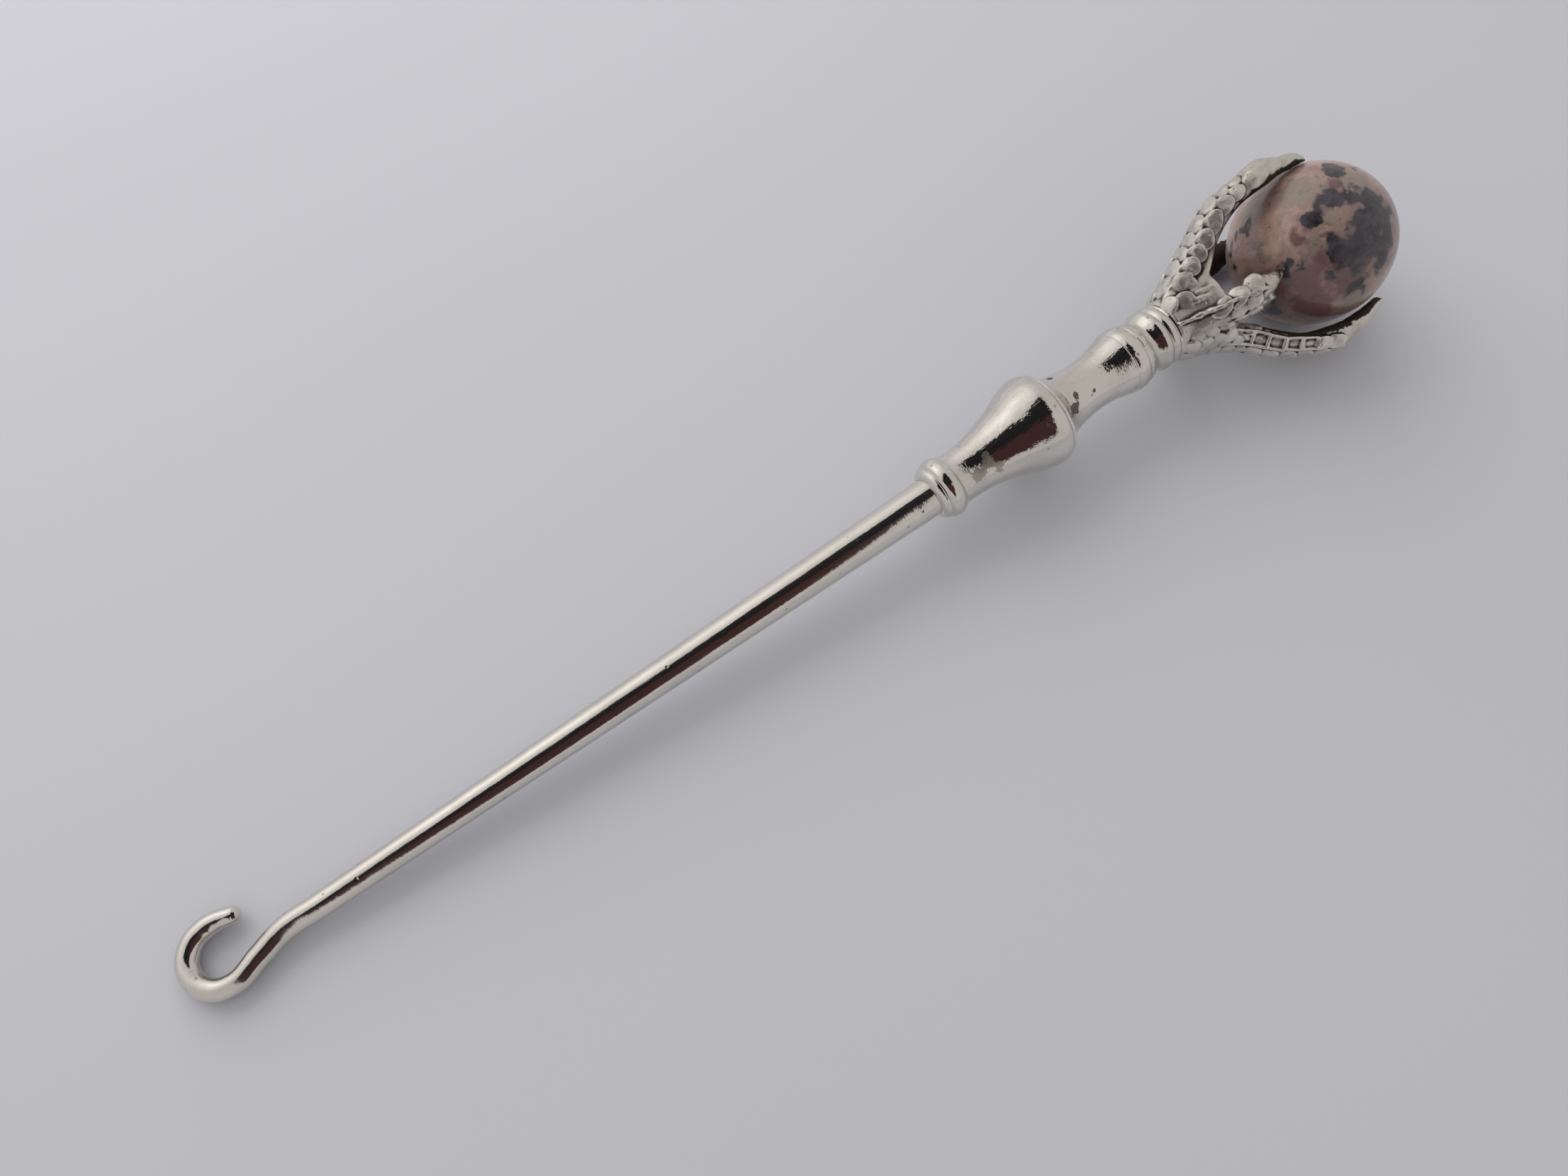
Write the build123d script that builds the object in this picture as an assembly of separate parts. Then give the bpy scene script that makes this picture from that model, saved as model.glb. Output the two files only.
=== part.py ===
# Button hook: a forged hook and tapered shaft, a turned cast handle, and a cast eagle's claw
# holding a polished stone ball. Millimetres, lying at rest on z = 0, +X from hook to ball.
from build123d import *
from math import acos, asin, degrees
import os

os.makedirs("parts", exist_ok=True)

# Shaft and hook, along the shaft's own axis; zero is the mouth of the handle
SHAFT_LENGTH = 88.0
SHAFT_ROOT_R = 2.50
SHAFT_END_R = 1.44
WIRE_R = 1.29
TIP_R = 1.05
BEND_R = 3.6
BEND_X = -95.3
BEND_Y = 1.6
TIP_RUN = 2.9
TIP_DROOP = 0.48

# Tang, its bore in the handle, and the filling round it
JOURNAL_LENGTH = 4.0
TANG_R = 1.9
TANG_END_R = 1.1
TANG_LENGTH = 24.0
BORE_DEPTH = 25.0
BORE_R = SHAFT_ROOT_R

# Handle, length from mouth to claw
HANDLE_LENGTH = 37.6
HANDLE_END_R = 3.95
SOCKET_R = 2.3
SOCKET_DEPTH = 7.0
SPIGOT_ROOT = 2.0

# Stone ball and its distance from the claw's root
BALL_R = 10.3
BALL_X = 24.2

# How the pieces are set in one another, seen from above, in degrees
HANDLE_SET = 1.45
CLAW_SET = -4.35

# Claw: round palm and four toes
PALM_R = 4.1
PALM_LENGTH = 7.4
PALM_RIM_R = 5.3
DISH_R = 6.0
DISH_DEPTH = 2.0
KNUCKLE_X, KNUCKLE_R = 19.2, 11.8
KNUCKLE_W, KNUCKLE_H = 3.6, 3.2

# Toe stations: place along the claw, distance from its axis, width across, thickness
FORE_TOE = [
    (0.8, 2.5, 2.8, 2.4),
    (4.4, 4.5, 4.4, 3.6),
    (8.3, 7.5, 4.3, 3.4),
    (11.6, 9.9, 3.9, 3.2),
    (15.2, 11.1, 3.3, 2.7),
    (KNUCKLE_X, KNUCKLE_R, KNUCKLE_W, KNUCKLE_H),
    (22.6, 11.5, 2.5, 2.3),
    (25.8, 10.7, 0.95, 0.95),
]
OPEN_TOE = [
    (0.8, 2.5, 2.8, 2.4),
    (4.4, 3.3, 4.2, 3.4),
    (8.5, 5.4, 4.2, 3.4),
    (12.0, 8.3, 4.1, 3.2),
    (15.4, 10.4, 3.6, 2.6),
    (KNUCKLE_X, KNUCKLE_R, KNUCKLE_W, KNUCKLE_H),
    (23.4, 11.7, 3.0, 2.4),
    (27.5, 11.0, 1.4, 1.4),
]
HIND_TOE = [
    (0.8, 2.5, 2.8, 2.4),
    (4.6, 3.9, 3.4, 3.0),
    (8.0, 4.9, 3.5, 3.0),
    (10.6, 5.5, 3.8, 2.9),
    (13.4, 5.5, 2.3, 1.9),
    (15.3, 5.2, 0.85, 0.85),
]

# Scutes, the domed scales along the back of a toe
SCUTE_PITCH = 2.0
SCUTE_LIFT = 0.32
SCUTE_NARROWING = 0.86
LONG_TOE_SCUTES = (0.18, 0.7)
HIND_TOE_SCUTES = (0.25, 0.7)

# Round the claw's axis, from straight up and towards +Y; the first lies on the table with the ball
TABLE_GAP = 0.25
knuckle_reach = (KNUCKLE_W + KNUCKLE_H) / 4 + SCUTE_LIFT + TABLE_GAP
RESTING_TOE_ANGLE = 180 - degrees(acos((BALL_R - knuckle_reach) / KNUCKLE_R))
UPPER_TOE_ANGLE = 45.0
OPEN_TOE_ANGLE = -106.0
HIND_TOE_ANGLE = -43.0


def hook_path():
    """Tip, round the bend and through the S that leads into the shaft, in the hook's own plane."""
    bend = CenterArc((BEND_X, BEND_Y), BEND_R, 90, 180)
    tip_centre = (bend @ 0) + Vector(TIP_RUN, -TIP_DROOP)
    nose = TangentArc(bend @ 0, tip_centre, tangent=(1, 0))
    shaft_end = Vector(-SHAFT_LENGTH, 0)
    middle = ((bend @ 1) + shaft_end) * 0.5
    dip = TangentArc(bend @ 1, middle, tangent=(1, 0))
    rise = TangentArc(middle, shaft_end, tangent=dip % 1)
    return nose, bend, dip, rise


def tube(edge, start_r, end_r):
    """Round section drawn along one edge, from one radius to another."""
    sections = [Plane(edge @ t, z_dir=edge % t) * Circle(r) for t, r in ((0, start_r), (1, end_r))]
    return sweep(sections, path=edge, multisection=True)


def hook_shaft():
    """One forging: rounded tip, hook, taper, and the tang that goes into the handle."""
    nose, bend, dip, rise = hook_path()
    middle_r = (WIRE_R + SHAFT_END_R) / 2
    hook = tube(nose, WIRE_R, TIP_R) + tube(bend, WIRE_R, WIRE_R)
    hook += tube(dip, WIRE_R, middle_r) + tube(rise, middle_r, SHAFT_END_R)
    hook += Pos(nose @ 1) * Sphere(TIP_R)
    taper = Plane.YZ.offset(-SHAFT_LENGTH / 2) * Cone(SHAFT_END_R, SHAFT_ROOT_R, SHAFT_LENGTH)
    tang_outline = Polyline(
        (0, 0), (0, SHAFT_ROOT_R), (JOURNAL_LENGTH, SHAFT_ROOT_R), (JOURNAL_LENGTH, TANG_R),
        (TANG_LENGTH, TANG_END_R), (TANG_LENGTH, 0), close=True,
    )
    tang = in_handle(revolve(make_face(tang_outline), Axis.X))
    return hook + taper + Sphere(SHAFT_ROOT_R) + tang


def handle_outline():
    """Turned outline of the handle: collar, bell, waist and the rings next to the claw."""
    neck, bell, waist = (6.2, 3.41), (17.0, 6.16), (26.0, 3.42)
    collar = Polyline((0, BORE_R), (0.12, 2.95), (0.55, 3.42), (0.85, 3.5), (1.0, 3.42))
    collar += ThreePointArc((1.0, 3.42), (2.05, 3.98), (3.2, 3.55))
    collar += Line((3.2, 3.55), (3.4, 3.44))
    flare = Spline((3.4, 3.44), neck, (11.6, 4.52), (15.2, 5.88), bell, tangents=((1, 0), (1, 0)))
    crest = ThreePointArc(bell, (17.8, 5.98), (18.2, 5.66))
    rim = Polyline((18.2, 5.66), (18.45, 5.66), (18.55, 5.3))
    shoulder = Spline((18.55, 5.3), (19.9, 4.32), waist, (30.0, 4.2), tangents=((0.35, -1), (1, 0.3)))
    ring = Polyline((30.0, 4.2), (30.15, 4.12), (30.4, 4.25))
    ring += ThreePointArc((30.4, 4.25), (31.2, 4.38), (31.95, 4.26))
    ring += Polyline((31.95, 4.26), (32.15, 4.12), (32.4, 4.14), (33.0, 3.95))
    notch = ThreePointArc((33.0, 3.95), (33.9, 3.6), (34.4, 3.7))
    bulge = ThreePointArc((34.4, 3.7), (35.4, 4.12), (36.0, 4.0))
    end = Polyline((36.0, 4.0), (36.15, 3.88), (36.35, 3.98))
    end += ThreePointArc((36.35, 3.98), (36.8, 4.06), (37.2, 3.98))
    end += Polyline((37.2, 3.98), (37.35, 3.86), (HANDLE_LENGTH, HANDLE_END_R))
    inside = Polyline(
        (HANDLE_LENGTH, HANDLE_END_R), (HANDLE_LENGTH, SOCKET_R),
        (HANDLE_LENGTH - SOCKET_DEPTH, SOCKET_R), (HANDLE_LENGTH - SOCKET_DEPTH, 0),
        (BORE_DEPTH, 0), (BORE_DEPTH, BORE_R), (0, BORE_R),
    )
    return collar + flare + crest + rim + shoulder + ring + notch + bulge + end + inside


def handle():
    """Cast handle, bored for the tang at one end and for the claw's spigot at the other."""
    return in_handle(revolve(make_face(handle_outline().edges()), Axis.X))


def tang_cement():
    """Filling that holds the tang in the handle's bore."""
    outline = Polyline(
        (JOURNAL_LENGTH, BORE_R), (BORE_DEPTH, BORE_R), (BORE_DEPTH, 0), (TANG_LENGTH, 0),
        (TANG_LENGTH, TANG_END_R), (JOURNAL_LENGTH, TANG_R), close=True,
    )
    return in_handle(revolve(make_face(outline), Axis.X))


def toe_line(stations):
    """Direction along the toe at each station; the root points straight out of the palm."""
    lines = [Vector(1, 0, 0)]
    last = len(stations) - 1
    for i in range(1, len(stations)):
        before, after = stations[i - 1], stations[min(i + 1, last)]
        lines.append(Vector(after[0] - before[0], 0, after[1] - before[1]).normalized())
    return lines


def scutes(stations, first, last):
    """Row of domes along the back of a toe, from one place along the claw to another."""
    spine = Spline(*[(x, 0, r) for x, r, width, thick in stations])
    count = round(spine.length * (last - first) / SCUTE_PITCH)
    domes = []
    for i in range(count):
        t = first + (last - first) * i / (count - 1)
        place, along = spine @ t, spine % t
        near = min(range(len(stations)), key=lambda k: abs(stations[k][0] - place.X))
        width, thick = stations[near][2], stations[near][3]
        outward = Vector(-along.Z, 0, along.X)
        dome_r = width / 2 * SCUTE_NARROWING
        domes.append(Pos(place + outward * (thick / 2 + SCUTE_LIFT - dome_r)) * Sphere(dome_r))
    return domes


def toe(stations, angle, scute_span):
    """Solids of one tapering toe: its body, tip and scutes, turned round the claw's axis."""
    sections = []
    for (x, r, width, thick), along in zip(stations, toe_line(stations)):
        sections.append(Plane((x, 0, r), x_dir=(0, 1, 0), z_dir=along) * Ellipse(width / 2, thick / 2))
    x, r, width, thick = stations[-1]
    solids = [loft(sections), Pos(x, 0, r) * Sphere(width / 2)] + scutes(stations, *scute_span)
    return [Rot(-angle, 0, 0) * solid for solid in solids]


def claw():
    """Cast claw: spigot, dished palm, three long toes and a short hind toe, seated on the ball."""
    palm_outline = Polyline((-1, 0), (-1, PALM_R))
    palm_outline += ThreePointArc((-1, PALM_R), (3.0, 4.4), (PALM_LENGTH - 0.6, PALM_RIM_R))
    palm_outline += Polyline(
        (PALM_LENGTH - 0.6, PALM_RIM_R), (PALM_LENGTH, PALM_RIM_R - 0.6), (PALM_LENGTH, 0), (-1, 0)
    )
    palm = revolve(make_face(palm_outline.edges()), Axis.X)
    palm -= Pos(PALM_LENGTH - DISH_DEPTH + DISH_R, 0, 0) * Sphere(DISH_R)
    toes = toe(FORE_TOE, RESTING_TOE_ANGLE, LONG_TOE_SCUTES)
    toes += toe(FORE_TOE, UPPER_TOE_ANGLE, LONG_TOE_SCUTES)
    toes += toe(OPEN_TOE, OPEN_TOE_ANGLE, LONG_TOE_SCUTES)
    toes += toe(HIND_TOE, HIND_TOE_ANGLE, HIND_TOE_SCUTES)
    for solid in toes:
        palm += solid
    palm -= Pos(BALL_X, 0, 0) * Sphere(BALL_R)
    casting = in_claw(palm)
    casting -= in_handle(Pos(HANDLE_LENGTH - 5, 0, 0) * Box(10, 20, 20))
    spigot_length = SOCKET_DEPTH + SPIGOT_ROOT
    spigot_x = HANDLE_LENGTH - SOCKET_DEPTH + spigot_length / 2
    return casting + in_handle(Plane.YZ.offset(spigot_x) * Cylinder(SOCKET_R, spigot_length))


def stone_ball():
    """Polished stone ball."""
    return in_claw(Pos(BALL_X, 0, 0) * Sphere(BALL_R))


def in_handle(shape):
    """Place a shape drawn on the handle's axis."""
    return Rot(0, 0, HANDLE_SET) * shape


def in_claw(shape):
    """Place a shape drawn on the claw's axis."""
    return in_handle(Pos(HANDLE_LENGTH, 0, 0) * Rot(0, 0, CLAW_SET) * shape)


def rest_tilt():
    """Angle at which the hook's bend and the ball both touch the table."""
    ball = in_claw(Pos(BALL_X, 0, 0) * Sphere(BALL_R)).center()
    return degrees(asin((BALL_R - WIRE_R) / (ball.X - (BEND_X - BEND_R))))


pieces = {
    "hook_shaft": hook_shaft(),
    "handle": handle(),
    "tang_cement": tang_cement(),
    "claw": claw(),
    "stone_ball": stone_ball(),
}
tilted = {name: Rot(0, -rest_tilt(), 0) * shape for name, shape in pieces.items()}
box = Compound(children=[s.solids()[0] for s in tilted.values()]).bounding_box()
to_origin = Pos(-box.center().X, -box.center().Y, -box.min.Z)
for name, shape in tilted.items():
    export_step(to_origin * shape, f"parts/{name}.step")
print("length", round(box.size.X, 2), "width", round(box.size.Y, 2), "height", round(box.size.Z, 2))
print("tilt", round(rest_tilt(), 3), "resting toe at", round(RESTING_TOE_ANGLE, 2))
print("moved by", to_origin.position)
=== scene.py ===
"""Button hook: steel hook and shaft, turned white-metal handle, eagle's claw and granite ball."""
from math import cos, pi, radians, sin

import bmesh
import bpy
import numpy as np
from mathutils import Euler, Matrix, Vector, noise


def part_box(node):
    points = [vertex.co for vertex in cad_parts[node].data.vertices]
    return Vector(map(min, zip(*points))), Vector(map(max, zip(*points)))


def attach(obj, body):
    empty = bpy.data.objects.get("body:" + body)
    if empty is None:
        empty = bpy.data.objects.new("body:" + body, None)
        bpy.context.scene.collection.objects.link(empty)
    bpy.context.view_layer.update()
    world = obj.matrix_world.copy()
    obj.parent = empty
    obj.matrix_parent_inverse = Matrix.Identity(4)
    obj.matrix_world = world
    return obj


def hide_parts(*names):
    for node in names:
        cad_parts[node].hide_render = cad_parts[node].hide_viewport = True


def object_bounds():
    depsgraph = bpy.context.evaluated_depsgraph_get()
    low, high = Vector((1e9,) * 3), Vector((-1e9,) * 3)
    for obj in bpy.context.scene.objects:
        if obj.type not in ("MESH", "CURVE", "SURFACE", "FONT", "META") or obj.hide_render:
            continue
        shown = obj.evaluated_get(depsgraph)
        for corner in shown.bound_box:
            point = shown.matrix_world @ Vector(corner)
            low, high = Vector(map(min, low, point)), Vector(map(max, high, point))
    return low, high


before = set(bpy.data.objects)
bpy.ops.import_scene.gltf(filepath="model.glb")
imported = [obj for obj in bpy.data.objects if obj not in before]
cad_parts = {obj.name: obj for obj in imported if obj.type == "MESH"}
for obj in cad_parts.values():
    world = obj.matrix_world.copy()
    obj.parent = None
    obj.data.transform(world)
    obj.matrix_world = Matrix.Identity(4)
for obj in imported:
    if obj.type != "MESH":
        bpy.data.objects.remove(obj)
cad_box = [list(corner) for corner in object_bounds()]

# Sizes in millimetres. The shaft's frame has its zero at the mouth of the handle
REST_TILT = 3.215
HANDLE_SET, CLAW_SET = 1.45, -4.35
HANDLE_LENGTH = 37.6
BALL_R, BALL_X = 10.3, 24.2

# Hook and shaft: place along, place across, radius
BEND_X, BEND_Y, BEND_R, WIRE_R, TIP_R = -95.3, 1.6, 3.6, 1.29, 1.05

# Toe stations: place along the claw, distance from its axis, width across, thickness
FORE_TOE = [
    (0.8, 2.5, 2.8, 2.4),
    (4.4, 4.5, 4.4, 3.6),
    (8.3, 7.5, 4.3, 3.4),
    (11.6, 9.9, 3.9, 3.2),
    (15.2, 11.1, 3.3, 2.7),
    (19.2, 11.8, 3.6, 3.2),
    (21.3, 11.75, 2.7, 2.6),
]
FORE_NAIL = [(19.6, 11.8, 2.3, 2.2), (22.6, 11.5, 2.3, 2.1), (24.4, 11.15, 1.7, 1.6), (25.8, 10.7, 0.9, 0.9)]
OPEN_TOE = [
    (0.8, 2.5, 2.8, 2.4),
    (4.4, 3.3, 4.2, 3.4),
    (8.5, 5.4, 4.2, 3.4),
    (12.0, 8.3, 4.1, 3.2),
    (15.4, 10.4, 3.6, 2.6),
    (19.2, 11.8, 3.6, 3.2),
    (21.5, 11.85, 2.9, 2.6),
]
OPEN_NAIL = [(19.6, 11.9, 2.7, 2.3), (23.4, 11.75, 2.8, 2.2), (25.8, 11.4, 2.2, 1.7), (27.5, 11.0, 1.5, 1.4)]
HIND_TOE = [
    (0.8, 2.5, 2.8, 2.4),
    (4.6, 3.9, 3.4, 3.0),
    (8.0, 4.9, 3.3, 2.8),
    (10.2, 5.5, 3.7, 2.8),
    (12.2, 5.6, 2.9, 2.2),
]
HIND_NAIL = [(10.6, 5.7, 2.6, 2.2), (12.8, 5.7, 2.1, 1.9), (14.9, 5.2, 0.9, 0.8)]
WIDE_WEB = [(1.2, 2.9, 5.4, 2.6), (4.5, 3.9, 7.8, 2.4), (7.5, 5.7, 7.8, 1.9), (10.4, 8.0, 5.6, 1.3)]
WEB = [(1.2, 2.9, 5.4, 2.6), (4.5, 3.8, 6.6, 2.4), (7.0, 5.1, 5.6, 1.9), (9.4, 7.0, 3.2, 1.3)]
RESTING_TOE_ANGLE, UPPER_TOE_ANGLE, OPEN_TOE_ANGLE, HIND_TOE_ANGLE = 132.88, 45.0, -106.0, -43.0

# Placing matrices, from millimetres in a piece's own frame to metres in the row frame
turn_down = Matrix.Rotation(radians(-REST_TILT), 4, "Y")
to_handle = Matrix.Rotation(radians(HANDLE_SET), 4, "Z")
to_claw = to_handle @ Matrix.Translation((HANDLE_LENGTH, 0, 0)) @ Matrix.Rotation(radians(CLAW_SET), 4, "Z")
ball_low, ball_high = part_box("stone_ball")
ball_centre = (ball_low + ball_high) / 2
mouth = ball_centre - (turn_down @ to_claw @ Vector((BALL_X, 0, 0))) * 0.001
IN_SHAFT = Matrix.Translation(mouth) @ turn_down @ Matrix.Scale(0.001, 4)
IN_HANDLE = IN_SHAFT @ to_handle
IN_CLAW = IN_SHAFT @ to_claw


# Modelling helpers

def only(piece):
    """Selects one object and makes it active."""
    bpy.ops.object.select_all(action="DESELECT")
    piece.select_set(True)
    bpy.context.view_layer.objects.active = piece
    return piece


def edit(piece):
    """Opens a piece in edit mode with everything selected, and returns its editable mesh."""
    only(piece)
    bpy.ops.object.mode_set(mode="EDIT")
    bpy.ops.mesh.select_all(action="SELECT")
    return bmesh.from_edit_mesh(piece.data)


def done_editing():
    bpy.ops.object.mode_set(mode="OBJECT")


def join(pieces, name):
    """Joins several objects into the first one."""
    only(pieces[0])
    for piece in pieces:
        piece.select_set(True)
    bpy.ops.object.join()
    joined = bpy.context.object
    joined.name = joined.data.name = name
    return joined


def apply(piece, kind, **settings):
    """Adds a modifier with these settings and applies it."""
    only(piece)
    modifier = piece.modifiers.new(kind.title(), kind)
    for key, value in settings.items():
        setattr(modifier, key, value)
    bpy.ops.object.modifier_apply(modifier=modifier.name)


def set_place(piece, matrix):
    """Puts the piece's place into its mesh and leaves the object at the origin."""
    piece.data.transform(matrix @ piece.matrix_world)
    piece.matrix_world = Matrix.Identity(4)
    return piece


def seat(piece, name, node, matrix, finish):
    """Finished piece: placed in the row frame and kept in the CAD box, with its finish, for its CAD node."""
    set_place(piece, matrix)
    for point in piece.data.vertices:
        point.co = [min(max(value, low), high) for value, low, high in zip(point.co, *cad_box)]
    piece.name = piece.data.name = name
    piece.data.materials.clear()
    piece.data.materials.append(finish)
    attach(piece, "root")
    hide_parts(node)
    return piece


def finer(stations, steps):
    """The same stations with smooth in-between ones."""
    rows = np.array(stations, float)
    last = len(rows) - 1
    fine = []
    for i in range(last):
        a, b, c, d = rows[max(i - 1, 0)], rows[i], rows[i + 1], rows[min(i + 2, last)]
        for t in np.arange(steps) / steps:
            fine.append(b + 0.5 * t * (c - a + t * (2 * a - 5 * b + 4 * c - d + t * (3 * (b - c) + d - a))))
    return fine + [rows[last]]


def rounded_end(rows):
    """Adds the rounded tip to a toe's stations."""
    x, r, width, thick = rows[-1]
    reach_full = min(width, thick) / 2
    along = Vector(rows[-1][:2] - rows[-2][:2]).normalized()
    for turn in (25, 48, 66, 80, 88):
        reach, left = sin(radians(turn)) * reach_full, cos(radians(turn))
        rows.append(np.array((x + along[0] * reach, r + along[1] * reach, width * left, thick * left)))
    return rows


def shake(place, octaves=1):
    """A smooth random push for a place, the same in every run."""
    push = Vector()
    for k in range(octaves):
        spot = place * 2 ** k
        push += Vector([noise.noise(spot + Vector(shift)) * 0.5 ** k
                        for shift in ((0, 0, 0), (31.4, 7.7, 2.1), (-12.3, 40.5, 18.9))])
    return push


def worn_uneven(piece, scale, depth):
    """Wears a surface down by a few hundredths, in soft uneven patches."""
    only(piece)
    normals = [point.normal.copy() for point in piece.data.vertices]
    for point, normal in zip(piece.data.vertices, normals):
        point.co -= normal * max(noise.fractal(point.co * scale, 1.0, 2.0, 3), 0) * depth


def drawn_out(stations, sides=32):
    """A circle extruded from station to station, in the plane y = 0, with z outwards."""
    bpy.ops.object.select_all(action="DESELECT")
    bpy.ops.mesh.primitive_circle_add(vertices=sides, radius=0.5, fill_type="NGON")
    bar = bpy.context.object
    edit(bar)
    last = len(stations) - 1
    before = Matrix.Identity(4)
    for i, (x, r, width, thick) in enumerate(stations):
        back, ahead = stations[max(i - 1, 0)], stations[min(i + 1, last)]
        along = Vector((ahead[0] - back[0], 0, ahead[1] - back[1])).normalized()
        out = Vector((-along.z, 0, along.x))
        ring = Matrix((Vector((0, width, 0)), out * thick, along)).transposed().to_4x4()
        ring.translation = (x, 0, r)
        if i:
            bpy.ops.mesh.extrude_region_move()
        mesh = bmesh.from_edit_mesh(bar.data)
        picked = [v for v in mesh.verts if v.select]
        bmesh.ops.transform(mesh, matrix=ring @ before.inverted(), verts=picked)
        before = ring
    bpy.ops.mesh.select_all(action="SELECT")
    bpy.ops.mesh.normals_make_consistent(inside=False)
    done_editing()
    return bar


# Material helpers

def new_finish(name):
    """A material with its nodes, its Principled shader and a short way to add nodes."""
    finish = bpy.data.materials.new(name)
    finish.use_nodes = True
    return finish, finish.node_tree, finish.node_tree.nodes["Principled BSDF"]


def put(tree, kind, settings=None, **sockets):
    """Adds a node; a socket is given a value, or another node's output."""
    added = tree.nodes.new(kind)
    for key, value in (settings or {}).items():
        setattr(added, key, value)
    for key, value in sockets.items():
        index = int(key[1:]) if key[0] == "n" and key[1:].isdigit() else key.replace("_", " ")
        if isinstance(value, bpy.types.NodeSocket):
            tree.links.new(value, added.inputs[index])
        else:
            added.inputs[index].default_value = value
    return added


def ramp(tree, value, *stops):
    """Colour ramp with its stops given as (place, colour or grey)."""
    added = put(tree, "ShaderNodeValToRGB", Fac=value)
    bar = added.color_ramp.elements
    while len(bar) < len(stops):
        bar.new(0.5)
    for element, (place, colour) in zip(bar, stops):
        element.position = place
        grey = (colour,) * 3 if isinstance(colour, (int, float)) else colour
        element.color = (*grey, 1)
    return added.outputs["Color"]


def mix(tree, amount, first, second, how="MIX"):
    """Mixes two colours."""
    added = put(tree, "ShaderNodeMix", {"data_type": "RGBA", "blend_type": how}, n0=amount)
    for index, value in ((6, first), (7, second)):
        if isinstance(value, bpy.types.NodeSocket):
            tree.links.new(value, added.inputs[index])
        else:
            added.inputs[index].default_value = (*value, 1)
    return added.outputs[2]


def maths(tree, how, first, second=0.0, third=0.0):
    """One arithmetic step."""
    return put(tree, "ShaderNodeMath", {"operation": how}, n0=first, n1=second, n2=third).outputs[0]


def wear_group():
    """Patches of tarnish, casting pits and fine handling scratches, for every metal piece."""
    tree = bpy.data.node_groups.new("Metal wear", "ShaderNodeTree")
    for name, value in (("Patch Size", 150.0), ("Pit Size", 900.0), ("Pit Share", 0.4)):
        tree.interface.new_socket(name, in_out="INPUT", socket_type="NodeSocketFloat").default_value = value
    for name in ("Tarnish", "Pits", "Scratches", "Skin"):
        tree.interface.new_socket(name, in_out="OUTPUT", socket_type="NodeSocketFloat")
    given, out = tree.nodes.new("NodeGroupInput"), tree.nodes.new("NodeGroupOutput")
    place = put(tree, "ShaderNodeTexCoord").outputs["Object"]
    patches = put(tree, "ShaderNodeTexNoise", Vector=place, Scale=given.outputs["Patch Size"],
                  Detail=5.0, Roughness=0.6, Distortion=0.4)
    tree.links.new(ramp(tree, patches.outputs["Fac"], (0.42, 0.0), (0.68, 1.0)), out.inputs["Tarnish"])
    cells = put(tree, "ShaderNodeTexVoronoi", Vector=place, Scale=given.outputs["Pit Size"])
    holes = maths(tree, "SMOOTH_MIN", maths(tree, "MULTIPLY", cells.outputs["Distance"], 3.0), 1.0, 0.3)
    chosen = maths(tree, "LESS_THAN", put(tree, "ShaderNodeSeparateColor",
                   Color=cells.outputs["Color"]).outputs["Red"], given.outputs["Pit Share"])
    pits = maths(tree, "MULTIPLY", maths(tree, "SUBTRACT", 1.0, holes), chosen)
    tree.links.new(pits, out.inputs["Pits"])
    stretched = put(tree, "ShaderNodeMapping", Vector=place, Rotation=(0.3, 0.5, 0.9), Scale=(120, 5200, 900))
    lines = put(tree, "ShaderNodeTexNoise", Vector=stretched.outputs[0], Scale=1.0, Detail=3.0)
    tree.links.new(ramp(tree, lines.outputs["Fac"], (0.6, 0.0), (0.72, 1.0)), out.inputs["Scratches"])
    skin = put(tree, "ShaderNodeTexNoise", Vector=place, Scale=620.0, Detail=4.0, Roughness=0.65)
    tree.links.new(skin.outputs["Fac"], out.inputs["Skin"])
    return tree


METAL_WEAR = wear_group()


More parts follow.
